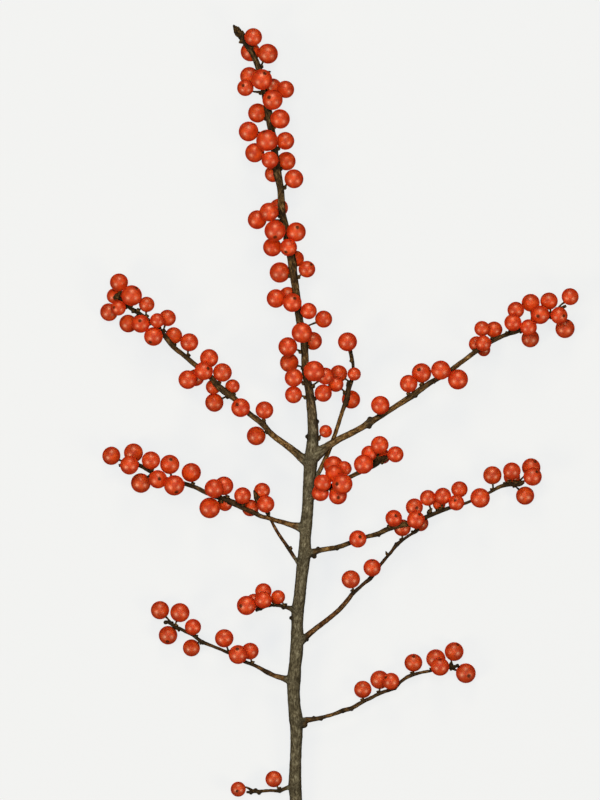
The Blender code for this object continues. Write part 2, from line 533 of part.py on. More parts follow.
def berry_node(node, placed, finish):
    """One closed body: the node's berries, their stalks and the patches where they press together."""
    bunches, pairs = bunches_of(node.berries)
    pieces = [ball("ball", centre, radius) for centre, radius in node.berries]
    pieces += [contact_patch(one, two) for one, two in pairs]
    on_spur = []
    if len(bunches) > 1:
        foot, on_spur = spur_foot(node, bunches, placed)
        for berry in on_spur:
            pieces.append(stalk(foot, *berry))
    for centre, radius in node.berries:
        if (centre, radius) in on_spur:
            continue
        foot = own_foot(node, centre, radius, placed)
        if foot:
            pieces.append(stalk(foot, centre, radius))
    return join(node.name, pieces, finish)


def wood(finish):
    """Main stem and side twigs in one closed body."""
    tubes = [
        tube(name, [((x, y, z), radius) for x, y, z, radius in route], 1 if name == "stem" else 0)
        for name, route in TWIGS.items()
    ]
    return join("branch", tubes, finish)


def build():
    for old in list(bpy.data.objects):
        bpy.data.objects.remove(old)
    bark = material("bark", BARK_COLOUR, BARK_ROUGHNESS)
    skin = material("berry_skin", SKIN_COLOUR, SKIN_ROUGHNESS)
    wood(bark)
    nodes, placed = place_berries()
    for node in nodes:
        berry_node(node, placed, skin)


build()
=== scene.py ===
import math
import random

import bpy
from mathutils import Matrix, Vector, kdtree


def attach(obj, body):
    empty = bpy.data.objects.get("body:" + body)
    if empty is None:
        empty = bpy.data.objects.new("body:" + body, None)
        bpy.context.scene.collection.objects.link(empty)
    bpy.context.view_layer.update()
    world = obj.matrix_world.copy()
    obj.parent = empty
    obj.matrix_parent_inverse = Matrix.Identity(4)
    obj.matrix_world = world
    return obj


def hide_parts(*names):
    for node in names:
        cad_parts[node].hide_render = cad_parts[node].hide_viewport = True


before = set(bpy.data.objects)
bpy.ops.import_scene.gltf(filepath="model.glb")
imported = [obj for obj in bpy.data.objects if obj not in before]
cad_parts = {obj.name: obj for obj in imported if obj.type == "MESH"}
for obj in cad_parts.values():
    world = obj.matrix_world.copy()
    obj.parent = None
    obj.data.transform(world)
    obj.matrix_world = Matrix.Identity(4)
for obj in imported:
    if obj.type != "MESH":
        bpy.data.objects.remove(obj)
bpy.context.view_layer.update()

mm = 0.001
up = Vector((0, 0, 1))


def atMm(x, y, z):
    return Vector((x, y, z)) * mm


def clamped(share):
    return max(0.0, min(1.0, share))


def searchTree(places):
    # finds the nearest of these places quickly
    made = kdtree.KDTree(len(places))
    for index, place in enumerate(places):
        made.insert(place, index)
    made.balance()
    return made


def deselectAll():
    bpy.ops.object.select_all(action="DESELECT")


def only(piece):
    deselectAll()
    piece.select_set(True)
    bpy.context.view_layer.objects.active = piece


def joined(pieces, name):
    deselectAll()
    for piece in pieces:
        piece.select_set(True)
    bpy.context.view_layer.objects.active = pieces[0]
    if len(pieces) > 1:
        bpy.ops.object.join()
    made = bpy.context.view_layer.objects.active
    made.name = name
    made.data.name = name
    return made


def tube(name, points, steps, sides):
    # a closed round tube through (place, radius in mm) points, turned into a mesh
    bpy.ops.curve.primitive_bezier_curve_add(radius=0.01)
    made = bpy.context.object
    made.name = name
    curve = made.data
    curve.dimensions = "3D"
    curve.resolution_u = steps
    curve.bevel_depth = mm
    curve.bevel_resolution = sides
    curve.use_fill_caps = True
    spline = curve.splines[0]
    spline.bezier_points.add(len(points) - len(spline.bezier_points))
    for point, (place, radius) in zip(spline.bezier_points, points):
        point.co = place
        point.handle_left_type = point.handle_right_type = "AUTO"
        point.radius = radius
    only(made)
    bpy.ops.object.convert(target="MESH")
    return bpy.context.object


def wear(piece, *materials):
    piece.data.materials.clear()
    for material in materials:
        piece.data.materials.append(material)


def keep(piece, slotName, *nodes):
    # a finished piece rides on the one body and stands for its solids
    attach(piece, "root")
    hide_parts(*nodes)


def scaleFor(sizeMm):
    # pattern scale whose patches come out this wide
    return 1 / (sizeMm * mm)


def linear(hexColour):
    # sRGB hex to the linear colour that shaders take
    parts = [int(hexColour[i:i + 2], 16) / 255 for i in (0, 2, 4)]
    return [c / 12.92 if c <= 0.04045 else ((c + 0.055) / 1.055) ** 2.4 for c in parts] + [1.0]


def addNode(tree, kind, values=None, links=None, stops=(), **settings):
    # stops are a colour ramp's (place, hex) pairs
    node = tree.nodes.new(kind)
    for name, value in settings.items():
        setattr(node, name, value)
    for socket, value in (values or {}).items():
        node.inputs[socket].default_value = value
    for socket, source in (links or {}).items():
        tree.links.new(source, node.inputs[socket])
    while stops and len(node.color_ramp.elements) < len(stops):
        node.color_ramp.elements.new(0.5)
    for number, (place, hexColour) in enumerate(stops):
        node.color_ramp.elements[number].position = place
        node.color_ramp.elements[number].color = linear(hexColour)
    return node


def newMaterial(name):
    made = bpy.data.materials.new(name)
    made.use_nodes = True
    made.node_tree.nodes.clear()
    return made, made.node_tree


def finishMaterial(tree, values, links):
    shader = addNode(tree, "ShaderNodeBsdfPrincipled", values, links)
    addNode(tree, "ShaderNodeOutputMaterial", links={"Surface": shader.outputs["BSDF"]})


camera = {
    "acrossMm": -16.8, "upMm": 18.06, "heightMm": 6000,   # straight above the sprig, far away
    "showsMm": 336, "woodMm": 12,                          # length of sprig seen, at the level of its wood
    "sensorMm": 36, "nearM": 0.05, "farM": 20,
}
floor = {
    "sizeMm": 4000, "colour": "3C3C3C", "roughness": 0.9,
    "glow": 0.788, "glowColour": "FCFEFF",                 # lit from within, as on a light table
    "toothMm": 1.1, "toothDepthMm": 0.2, "tooth": 0.05,    # coarser than real paper's, which wouldn't show
}
glow = {"sizeMm": 480, "colour": "FFEBBE", "onlyGloss": True}    # three soft highlights on each berry
lamps = {
    "overhead": {"atMm": (-150, 250, 2200), "watts": 60, "sizeMm": 1500, "colour": "FFFFFF",
                 "onlyGloss": False},
    "topGlow": {"atMm": (-16, 1030, 800), "watts": 35, **glow},
    "leftGlow": {"atMm": (-905, -500, 800), "watts": 41, **glow},
    "rightGlow": {"atMm": (873, -500, 800), "watts": 32, **glow},
}
lampAimMm = (-16, 10, 0)
ambient = {"colour": "FFFFFF", "strength": 0.08}

bpy.context.scene.view_settings.view_transform = "Standard"
bpy.ops.object.camera_add(location=atMm(camera["acrossMm"], camera["upMm"], camera["heightMm"]),
                          rotation=(0, 0, 0))
eye = bpy.context.object
eye.name = "camera"
eye.data.sensor_width = camera["sensorMm"]
eye.data.lens = camera["sensorMm"] * (camera["heightMm"] - camera["woodMm"]) / camera["showsMm"]
eye.data.clip_start = camera["nearM"]
eye.data.clip_end = camera["farM"]
bpy.context.scene.camera = eye

bpy.ops.mesh.primitive_plane_add(size=floor["sizeMm"] * mm, location=(0, 0, 0))
ground = bpy.context.object
ground.name = "floor"
# matt white paper: an even pale ground with a hint of tooth
paper, tree = newMaterial("matt_white_paper")
tooth = addNode(tree, "ShaderNodeTexNoise", {"Scale": scaleFor(floor["toothMm"]), "Detail": 2.0},
                {"Vector": addNode(tree, "ShaderNodeTexCoord").outputs["Object"]})
paperBump = addNode(tree, "ShaderNodeBump", {
    "Strength": floor["tooth"], "Distance": floor["toothDepthMm"] * mm}, {"Height": tooth.outputs["Fac"]})
finishMaterial(tree, {"Base Color": linear(floor["colour"]), "Roughness": floor["roughness"],
                      "Emission Color": linear(floor["glowColour"]), "Emission Strength": floor["glow"]},
               {"Normal": paperBump.outputs["Normal"]})
ground.data.materials.append(paper)
ground.visible_diffuse = False    # no light thrown back up, so round things keep their dark edges
ground.visible_glossy = False

for name, lamp in lamps.items():
    place = atMm(*lamp["atMm"])
    aim = atMm(*lampAimMm) - place
    bpy.ops.object.light_add(type="AREA", location=place, rotation=aim.to_track_quat("-Z", "Y").to_euler())
    light = bpy.context.object
    light.name = name
    light.data.shape = "DISK"
    light.data.size = lamp["sizeMm"] * mm
    light.data.energy = lamp["watts"]
    light.data.color = linear(lamp["colour"])[:3]
    light.visible_diffuse = not lamp["onlyGloss"]
    light.visible_glossy = lamp["onlyGloss"]

sky = bpy.data.worlds.new("soft_room")
sky.use_nodes = True
sky.node_tree.nodes["Background"].inputs["Color"].default_value = linear(ambient["colour"])
sky.node_tree.nodes["Background"].inputs["Strength"].default_value = ambient["strength"]
bpy.context.scene.world = sky
sky.cycles_visibility.glossy = False    # the room itself leaves no grey haze on the skins
print("studio ready")

# twig routes from foot to tip: x, y, height of the axis and radius, all in mm
twigs = {
    "stem": [
        (-18.6, -175, 2.6, 2.55), (-18.6, -162, 3.2, 2.5), (-18.5, -150, 4, 2.5),
        (-18.9, -144.5, 4.4, 2.75), (-18.8, -138, 4.8, 2.5), (-18.5, -129, 5.4, 2.35),
        (-18.3, -120, 6, 2.65), (-18.5, -116.5, 6.3, 2.9), (-19.2, -110, 6.8, 2.6),
        (-19.5, -104, 7.3, 2.65), (-19.4, -99.5, 7.6, 2.9), (-18.9, -94, 8, 2.6), (-18.3, -88, 8.4, 2.7),
        (-18, -82, 8.8, 2.7), (-18, -76, 9.2, 2.45), (-17.7, -70, 9.5, 2.6), (-16.9, -64, 9.8, 2.5),
        (-16.3, -58, 10.1, 2.45), (-15.5, -51, 10.4, 2.7), (-14.8, -45.5, 10.6, 2.7),
        (-14.6, -40, 10.8, 2.35), (-14.3, -35, 11, 2.6), (-13.7, -29, 11.2, 2.4), (-13.3, -22, 11.4, 2.4),
        (-12.9, -15, 11.6, 2.5), (-12.3, -8, 11.8, 2.9), (-11.6, -1, 11.9, 2.5), (-11.3, 5, 12, 2.3),
        (-11.6, 10, 12, 2.1), (-12, 15, 12, 2), (-12.9, 22, 12, 1.75), (-14.4, 30, 12, 1.6),
        (-14.8, 38, 12, 1.5), (-15.3, 44, 12, 1.55), (-17, 52, 12, 1.55), (-18.2, 62, 12, 1.5),
        (-19.4, 70, 11.9, 1.6), (-20, 75, 11.8, 1.8), (-21.3, 82, 11.7, 1.6), (-23, 91, 11.6, 1.5),
        (-24.3, 97, 11.5, 1.45), (-25, 107, 11.3, 1.4), (-26.3, 113.5, 11.2, 1.7), (-27.2, 120, 11, 1.5),
        (-28, 127, 10.9, 1.4), (-29.3, 134, 10.8, 1.55), (-30.2, 140, 10.7, 1.55),
        (-31.6, 146.5, 10.5, 1.35), (-33.5, 155, 10.4, 1.3), (-35.5, 161, 10.3, 1.2),
        (-38, 165.8, 10.2, 1.1), (-41, 169.6, 10.1, 1.1), (-42.8, 172.9, 10.1, 1.4),
        (-44.1, 175.1, 10.1, 0.5),
    ],
    "upper_left": [
        (-12.5, -9.5, 11.8, 2), (-15.8, -6.5, 11.9, 1.9), (-19.2, -3.5, 12, 1.5), (-23.8, 0, 12, 1.3),
        (-28.8, 3.8, 12, 1.2), (-32.7, 8.1, 11.9, 1.2), (-38.5, 12.7, 11.6, 1.1), (-44.2, 18.5, 11.2, 1.2),
        (-48.8, 21.9, 11, 1.45), (-51.9, 24.6, 10.8, 1.2), (-54.2, 27.7, 10.6, 1.2),
        (-60.8, 32.8, 10.3, 1.05), (-66.5, 37.6, 10, 0.95), (-69.7, 40.1, 9.9, 1), (-72.7, 43.7, 9.8, 1),
        (-75.6, 47.3, 9.7, 0.95), (-80, 51.2, 9.5, 0.85), (-85.1, 54.9, 9.4, 0.85), (-88.3, 56.8, 9.3, 0.8),
        (-91.2, 59.7, 9.2, 0.75), (-93.8, 61.6, 9.1, 0.6),
    ],
    "mid_left": [
        (-13.8, -37.4, 11, 2.2), (-16.9, -35.4, 11, 1.9), (-20.1, -34.5, 11, 1.2), (-23.6, -33.4, 11, 1),
        (-26.7, -32.6, 11, 0.95), (-30, -31.5, 10.9, 0.9), (-33, -30.8, 10.8, 0.85),
        (-36.2, -29.3, 10.7, 0.85), (-40, -27.6, 10.6, 1), (-44.3, -25.4, 10.5, 1.3),
        (-47.3, -24, 10.4, 1.05), (-51.2, -22.9, 10.3, 0.9), (-57.3, -20.3, 10.2, 0.95),
        (-60.5, -18.7, 10.1, 0.85), (-64.6, -17.3, 10, 0.9), (-70, -15.9, 9.9, 0.9), (-75, -14.4, 9.8, 0.9),
        (-79.7, -11.9, 9.7, 0.85), (-83.8, -9.6, 9.6, 0.8), (-88, -8.8, 9.5, 0.75), (-93, -9.5, 9.3, 0.6),
    ],
    "slanting": [
        (-15.8, -52.6, 10.2, 1.1), (-17.6, -50.3, 9.8, 0.85), (-18.9, -48.5, 9.4, 0.7),
        (-21.5, -44.4, 8.8, 0.8), (-24.9, -39.6, 8.3, 0.65), (-27.4, -35.5, 8.1, 0.65),
        (-29.6, -31.2, 8.1, 0.6), (-31.2, -28.6, 8.8, 0.55), (-32.2, -26, 10, 0.5),
    ],
    "left_spur": [
        (-17.2, -71.7, 9.4, 1.6), (-19.8, -70, 9.5, 1.2), (-22.5, -69, 9.6, 0.8), (-25.5, -68.3, 9.7, 0.7),
        (-29.2, -68.2, 9.9, 0.65), (-32.8, -69.2, 10, 0.8), (-35.5, -70.5, 10, 0.55),
    ],
    "lower_left": [
        (-18.3, -101.9, 7.4, 2.2), (-21, -99.9, 7.5, 1.8), (-24.5, -98.7, 7.6, 1.15),
        (-27.5, -97.8, 7.7, 0.95), (-30.7, -96.3, 7.8, 1), (-34.2, -94.3, 8, 0.75),
        (-37.3, -92.9, 8.2, 0.7), (-39.8, -92, 8.3, 0.75), (-42.8, -90.3, 8.4, 0.7),
        (-46.2, -88.5, 8.5, 0.65), (-50, -86.8, 8.6, 0.6), (-55, -84.8, 8.7, 0.65),
        (-57.7, -83.7, 8.8, 0.8), (-61.9, -80.8, 8.8, 0.6), (-65, -79.2, 8.8, 0.65),
        (-67.5, -77.9, 8.8, 0.7), (-69.6, -77, 8.8, 0.65), (-71.5, -75.4, 8.8, 0.8),
        (-73.7, -75.3, 8.8, 0.55),
    ],
    "bottom_left": [
        (-18.4, -143.6, 4.6, 1.5), (-21.7, -144.9, 4.5, 0.9), (-23.5, -145.5, 4.5, 0.75),
        (-25.3, -146.2, 4.5, 0.75), (-29.4, -146.2, 4.4, 0.6), (-35, -146.6, 4.4, 0.7),
        (-39.4, -146.9, 4.3, 0.5),
    ],
    "upper_right": [
        (-12.5, -7.7, 11.8, 2.6), (-9, -4.2, 12, 2.4), (-5.5, -1.6, 12.2, 1.75), (-2, 0.7, 12.4, 1.45),
        (0, 1.8, 12.5, 1.35), (5, 4.3, 12.6, 1.3), (10, 7, 12.7, 1.3), (12.3, 8.5, 12.7, 1.7),
        (15, 10.1, 12.7, 1.2), (20, 13.2, 12.6, 1.1), (25, 16.4, 12.5, 1.1), (30.5, 20, 12.4, 1.3),
        (34.2, 22.8, 12.3, 1.2), (38.4, 25.6, 12.2, 1.05), (43.8, 28.7, 12, 1), (47.1, 31, 11.8, 1),
        (50, 33.2, 11.6, 0.95), (55, 36.9, 11.4, 0.95), (59.5, 40.2, 11.2, 1), (64.1, 42.9, 11, 0.9),
        (70.1, 45.6, 10.7, 0.85), (75, 47.2, 10.5, 1), (79, 49.4, 10.3, 0.8), (83.5, 51.3, 10.1, 0.8),
        (87.3, 52.8, 9.9, 0.85), (91.5, 55.8, 9.7, 0.7), (95.1, 57.7, 9.5, 0.6),
    ],
    "back": [
        (-12.3, -18.6, 11, 1.1), (-10.2, -14.8, 10.1, 1), (-8.7, -12, 9.4, 0.95), (-4.7, -3.3, 8.3, 0.9),
        (-3, 1.2, 8.1, 0.85), (-1.5, 5.4, 8.2, 0.8), (1.2, 13.8, 8.8, 0.85), (2.7, 17.9, 9.3, 1.1),
        (3.8, 23.5, 9.5, 1.05), (5, 26.6, 9.5, 0.8), (5.5, 31.9, 9.6, 0.6), (5.1, 35.6, 9.6, 0.7),
        (4.4, 38.3, 9.6, 0.75),
    ],
    "front": [
        (-12.6, -23.6, 12, 1.3), (-10, -21.8, 15, 1.15), (-5, -18.9, 18.5, 1), (0, -16.3, 21.5, 1),
        (5, -13.8, 24, 0.9), (10, -11.3, 26.2, 0.95), (14.7, -8.9, 28.3, 1.1), (18.1, -6.3, 30, 1.15),
        (20.3, -6, 30.6, 0.75),
    ],
    "mid_right": [
        (-14.5, -47.1, 10.6, 2.2), (-11.5, -45.9, 10.8, 1.5), (-9, -45.2, 10.9, 1.15), (-6, -44.6, 11, 1),
        (-1.5, -43.9, 11.1, 1), (3.5, -42.2, 11.2, 0.95), (7.5, -40.6, 11.2, 0.85), (11, -39.4, 11.2, 0.8),
        (15.5, -38.3, 11.1, 1), (20, -36.2, 11, 1.05), (23.5, -34.9, 10.9, 1.1), (27, -34.2, 10.8, 1.05),
        (31, -33.2, 10.7, 0.95), (36.2, -31.1, 10.5, 0.9), (40.3, -29.4, 10.3, 0.85),
        (43.8, -28, 10.2, 0.85), (47.5, -26.8, 10.1, 0.75), (53, -25.2, 9.9, 0.6), (58.5, -22.8, 9.8, 0.6),
        (63.2, -20.6, 9.7, 0.6), (67.2, -18.4, 9.5, 0.75), (70.3, -17.5, 9.4, 0.9), (73.1, -17.3, 9.3, 0.9),
        (75.6, -17.4, 9.2, 0.8), (77.3, -16.3, 9.2, 0.55),
    ],
    "inner_right": [
        (-16.5, -83.4, 8.8, 1.8), (-13.8, -81, 8.9, 1.3), (-11, -78.7, 9, 1.1), (-5, -74, 9.2, 1),
        (0, -69.7, 9.3, 0.95), (3.8, -65.3, 9.3, 0.95), (5.3, -63.3, 9.3, 0.85), (7.7, -61.2, 9.3, 0.7),
        (10.4, -58.8, 9.3, 0.7), (12.7, -56.9, 9.3, 0.9), (15, -54, 9.2, 0.7), (17.3, -50.8, 9, 0.65),
        (21.5, -45.8, 8.7, 0.65), (23.8, -42.9, 8.4, 0.85), (26.9, -40.4, 8.1, 0.55),
        (30, -38.3, 7.9, 0.55), (32.1, -37.2, 7.8, 0.65), (33.2, -36.2, 7.8, 0.5),
    ],
    "lower_right": [
        (-17, -118.2, 6.2, 2), (-15, -116.8, 6.3, 1.35), (-12.5, -116.3, 6.4, 1.1), (-10, -116, 6.5, 0.95),
        (-6, -115, 6.7, 0.75), (-1.5, -113.6, 6.9, 0.75), (1.2, -112.5, 7, 0.95), (5, -111.4, 7.2, 0.85),
        (9.6, -108.8, 7.3, 0.8), (12.3, -107.5, 7.3, 0.7), (17.3, -105, 7.4, 0.75),
        (20.8, -103.8, 7.4, 0.75), (23.1, -102.7, 7.4, 0.9), (25.4, -100.5, 7.4, 0.65),
        (28.5, -98.3, 7.3, 0.75), (30.8, -97.4, 7.3, 0.7), (34.6, -96.4, 7.2, 0.6), (37.9, -95.8, 7.1, 0.6),
        (42, -95, 7, 0.6), (46.2, -94.3, 6.9, 0.75), (47.7, -94.2, 6.9, 0.75), (49.6, -93.5, 6.8, 0.5),
    ],
}

bark = {
    "ringSides": 5,            # bevel steps, 14 sides round
    "stepsPerPoint": 6,
    "voxelMm": 0.34,           # fine enough for a 1 mm twig
    "smoothPasses": 4,
    "spareMm": 0.08,           # added to every radius, because smoothing takes as much off
    "keepFaces": 0.7,          # share left where the surface is smooth enough to spare them
    "coarseMm": 2.6, "coarseDepthMm": 0.22,   # swellings along the stem
    "fineMm": 0.8, "fineDepthMm": 0.1,        # roughness of the bark
}
knobSides = {"segments": 12, "ring_count": 8}
sampleStepMm = 0.5             # how closely a twig's axis is sampled, to find the wood nearest to a place
upperTwigMm = 0.1              # where twigs cross, how strongly the upper one is preferred

# knobs, leaf scars and short dead spurs: x, y, height above the twig's axis, half width
knobs = [
    (-9.6, 9.0, 0, 1.0), (-13.7, 2.7, 0, 1.0), (-20.6, -73.5, 0, 0.9), (-10.8, -47.6, 0, 1.1),
    (-9.3, -44.3, 0.2, 0.9), (-1.2, -44.4, 0, 0.9), (-14.0, -82.6, 0, 1.0), (-15.2, -118.3, 1.2, 1.7),
    (-11.0, -115.5, 0, 0.9), (-7.9, -116.1, 0, 0.8), (5.0, -112.0, 0, 0.8), (23.1, -103.0, 0, 1.0),
    (47.7, -94.2, 0, 1.0), (49.4, -93.6, 0, 0.9), (12.6, 9.9, 0, 1.3), (12.3, 7.0, 0, 1.2),
    (31.7, 19.9, 0, 1.1), (16.4, -38.9, 0, 0.7), (23.8, -42.6, 0, 1.0), (-23.8, -69.2, 0, 0.9),
    (-27.8, -68.1, 0, 0.9), (-33.4, -69.6, 0, 1.0), (-57.7, -83.8, 0, 1.1), (-31.0, -96.2, 0, 0.9),
    (-73.3, -75.4, 0, 1.0), (-71.5, -75.6, 0, 0.9), (-34.0, -147.2, 0, 0.9), (-37.4, -147.2, 0, 0.8),
    (-35.4, -145.9, 0, 0.8), (-25.3, -146.4, 0, 0.9), (4.4, 38.5, 0, 1.0), (4.9, 34.6, 0, 0.9),
    (3.7, 24.2, 0, 1.3), (-48.8, 21.9, 0.3, 1.6), (-32.3, 8.6, 0, 1.3), (-44.3, -25.4, 0.2, 1.4),
    (-21.5, -44.2, 0, 0.9), (15.4, -8.4, 0, 1.2), (17.9, -6.5, 0, 1.3), (1.2, -112.6, 0, 1.1),
    (-18.9, -144.3, 0.4, 2.6), (-18.5, -116.6, 0, 2.9), (-19.4, -99.6, 0, 2.9), (-12.3, -8.0, 0.4, 3.0),
    (-15.2, -48.3, 0, 2.8), (-17.7, -70.5, 0, 2.7), (2.7, 18.2, 0, 1.1), (12.7, -56.9, 0, 1.0),
]


def samples(route):
    # places at even steps along a route: centre, direction, radius and length from its foot
    found = []
    length = 0.0
    for (x0, y0, z0, r0), (x1, y1, z1, r1) in zip(route, route[1:]):
        start, end = atMm(x0, y0, z0), atMm(x1, y1, z1)
        steps = max(1, round((end - start).length / (sampleStepMm * mm)))
        for step in range(steps):
            share = step / steps
            found.append((start.lerp(end, share), (end - start).normalized(), (r0 + (r1 - r0) * share) * mm,
                          length + (end - start).length * share))
        length += (end - start).length
    return found


alongTwig = {name: samples(route) for name, route in twigs.items()}
everySample = [one for name in twigs for one in alongTwig[name]]


def axisUnder(x, y):
    # height of the twig's axis under a place seen from above
    flat = Vector((x * mm, y * mm))
    upper = upperTwigMm * mm
    return min(everySample, key=lambda one: (one[0].xy - flat).length_squared - one[0].z * upper)[0].z


# every twig is a tube with its own thickness, and tubes and knobs are grown into one piece
shoots = [tube(name, [(atMm(x, y, z), radius + bark["spareMm"]) for x, y, z, radius in route],
               bark["stepsPerPoint"], bark["ringSides"]) for name, route in twigs.items()]
knobPlaces = [Vector((x * mm, y * mm, axisUnder(x, y) + lift * mm)) for x, y, lift, size in knobs]
for place, knob in zip(knobPlaces, knobs):
    bpy.ops.mesh.primitive_uv_sphere_add(radius=knob[-1] * mm, location=place, **knobSides)
    shoots.append(bpy.context.object)
wood = joined(shoots, "bark_and_wood")
bpy.ops.object.transform_apply(location=True, rotation=True, scale=True)
wood.data.remesh_voxel_size = bark["voxelMm"] * mm
wood.data.use_remesh_fix_poles = False
wood.data.use_remesh_preserve_volume = True
bpy.ops.object.voxel_remesh()
print("wood grown together:", len(wood.data.polygons), "faces")


def applied(piece, kind, **settings):
    modifier = piece.modifiers.new(kind.lower(), kind)
    for name, value in settings.items():
        setattr(modifier, name, value)
    only(piece)
    bpy.ops.object.modifier_apply(modifier=modifier.name)


def displaced(piece, name, sizeMm, depthMm, octaves):
    # pushes the surface in and out by a cloud pattern of this size
    texture = bpy.data.textures.new(name, "CLOUDS")
    texture.noise_scale = sizeMm * mm
    texture.noise_depth = octaves
    applied(piece, "DISPLACE", texture=texture, texture_coords="LOCAL", strength=depthMm * mm, mid_level=0.5)


applied(wood, "SMOOTH", factor=0.5, iterations=bark["smoothPasses"])
displaced(wood, "swellings", bark["coarseMm"], bark["coarseDepthMm"], 1)
displaced(wood, "roughness", bark["fineMm"], bark["fineDepthMm"], 2)
applied(wood, "DECIMATE", ratio=bark["keepFaces"])

# the pruner's cut at the foot of the stem, a little slanted
cut = {
    "middleMm": (-18.6, -174.4, 2.6), "slope": 0.105,
    "spanMm": 1.5, "squareness": 0.9,    # faces this near the cut and this square to it are bare wood
    "radiusMm": 2.7, "fibreMm": 0.3, "fibreDepthMm": 0.1, "relief": 0.4, "roughness": 0.8,
    # pith, growth rings and green inner bark, from the middle out
    "rings": [(0.0, "7A5A36"), (0.16, "8C6B43"), (0.22, "D9C79B"), (0.5, "CDB786"), (0.56, "D9C79B"),
              (0.84, "C3AB78"), (0.88, "5E6B3A"), (0.95, "3E3522")],
}
only(wood)
bpy.ops.object.mode_set(mode="EDIT")
bpy.ops.mesh.select_all(action="SELECT")
bpy.ops.mesh.bisect(plane_co=(cut["middleMm"][0] * mm, cut["middleMm"][1] * mm, 0),
                    plane_no=(0, 1, cut["slope"]), use_fill=True, clear_inner=True)
bpy.ops.mesh.normals_make_consistent(inside=False)
bpy.ops.object.mode_set(mode="OBJECT")
wood.data.shade_smooth()
print("bark shaped")

ball = {
    "ringDegrees": 45,       # the first ring under the pole of a packed berry stands at this angle
    "slopeWithin": 0.01, "sizeStepMm": 0.05, "leastMm": 0.1, "fewest": 4, "apartMm": 1,
    "digits": 5,             # places that agree to 0.01 mm are one place
}


def findBerries(node):
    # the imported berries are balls, so each has a pole with a ring of corners at an even slope around it
    around = {}
    for edge in node.data.edges:
        one, two = (node.data.vertices[i].co for i in edge.vertices)
        around.setdefault(one.to_tuple(ball["digits"]), []).append(two)
        around.setdefault(two.to_tuple(ball["digits"]), []).append(one)
    slope = math.tan(math.radians(ball["ringDegrees"] / 2))
    found = []
    for pole, ring in around.items():
        pole = Vector(pole)
        for rise in (1, -1):
            sizes = {}
            for other in ring:
                drop = (pole.z - other.z) * rise
                out = (other.xy - pole.xy).length
                if out > ball["leastMm"] * mm and abs(drop / out - slope) < ball["slopeWithin"]:
                    size = round(out / (ball["sizeStepMm"] * mm))
                    sizes.setdefault(size, set()).add(other.to_tuple(ball["digits"]))
            for near in sizes.values():
                if len(near) >= ball["fewest"]:
                    out = sum((Vector(p).xy - pole.xy).length for p in near) / len(near)
                    radius = out / math.sin(math.radians(ball["ringDegrees"]))
                    centre = pole - up * radius * rise
                    if all((centre - other).length > ball["apartMm"] * mm for other, size in found):
                        found.append((centre, radius))
    return found


berryNodes = sorted(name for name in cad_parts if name.startswith("berries_"))
foundBerries = {name: findBerries(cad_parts[name]) for name in berryNodes}
allBerries = [one for name in berryNodes for one in foundBerries[name]]
print("berries found:", len(allBerries))

# where the dark flower scar of a berry shows, as x, y in mm; the other berries turn theirs away
scars = [
    (-40.8, 150.2), (-31.5, 155.3), (-29.9, 145.1), (-32.0, 131.0), (-32.0, 116.3), (-27.2, 86.1),
    (-17.9, 90.6), (-22.8, 80.0), (-11.9, 75.0), (-18.9, 60.9), (-95.1, 57.0), (-85.3, 65.3),
    (-84.0, 51.4), (-79.8, 42.1), (-55.2, 31.3), (-43.3, 16.2), (-89.6, -5.5), (-75.7, -15.0),
    (-71.0, -6.8), (-68.5, -20.9), (-31.9, -62.2), (-41.9, -68.4), (-72.5, -83.7), (-43.1, -86.3),
    (-43.3, -146.4), (83.0, 53.2), (94.1, 53.4), (33.1, 31.0), (-1.5, -17.1), (-0.7, -22.9),
    (82.1, -7.5), (82.8, -11.9), (48.3, -23.9), (8.5, -39.2), (23.5, -30.5), (32.3, -27.3),
    (33.4, -29.8), (13.8, -48.9), (19.0, -98.3), (31.0, -89.6), (41.9, -90.7), (49.6, -84.6),
    (54.3, -98.0),
]

berry = {
    "around": 24, "rings": 16,
    "dimple": 0.05,             # how deep the flower scar sits, as a share of the radius
    "stalkDimple": 0.07,
    "plump": (0.97, 1.0),       # length along the stalk against width
    "scarReach": 0.95,          # a listed scar is on a berry whose middle is this near, in radii
    "levelMm": 0.1,             # and which no other berry covers by more than this
    "scarUnlisted": (0.35, 0.8),    # how dark the other scars are
    "steep": 0.3, "hangs": 0.25, "rises": 0.12,    # keeps unlisted scars off the top and the bottom
    "paintedLightFromMm": 4, "paintedLightOverMm": 14, "toneSpread": (-0.2, 0.2),    # painted light: berries higher up take the sunlit colours, lower ones the shaded colours, with a random spread in tone
}
stalk = {
    "footMm": 0.75, "midMm": 0.36, "topMm": 0.5,    # radii
    "steps": 7, "sides": 2,
    "backMm": (1.6, 3.4),       # how far down the twig from its berry it starts
    "sunk": 0.6,                # where its foot sits, as a share of the wood's radius
    "reach": 0.9,               # where it enters the berry, as a share of the berry's radius
    "bend": 0.35, "lean": 0.4,  # how strongly it bends, and leans towards the tip of the twig
}
bud = {
    "widthMm": 1.0, "lengthMm": 2.2, "around": 8, "rings": 6,    # width is from the middle out
    "waist": ((0.0, 1.0), (0.5, 0.68), (0.866, 0.6)),    # height on the pattern, and the width left there
    "fullOnMm": 1.3,            # buds on wood thinner than this radius are shorter
    "sunk": 0.7, "backMm": 0.7, "lean": 0.8,
}
spinRange = (0, 6)              # radians, how far a berry or a bud is turned about its own axis
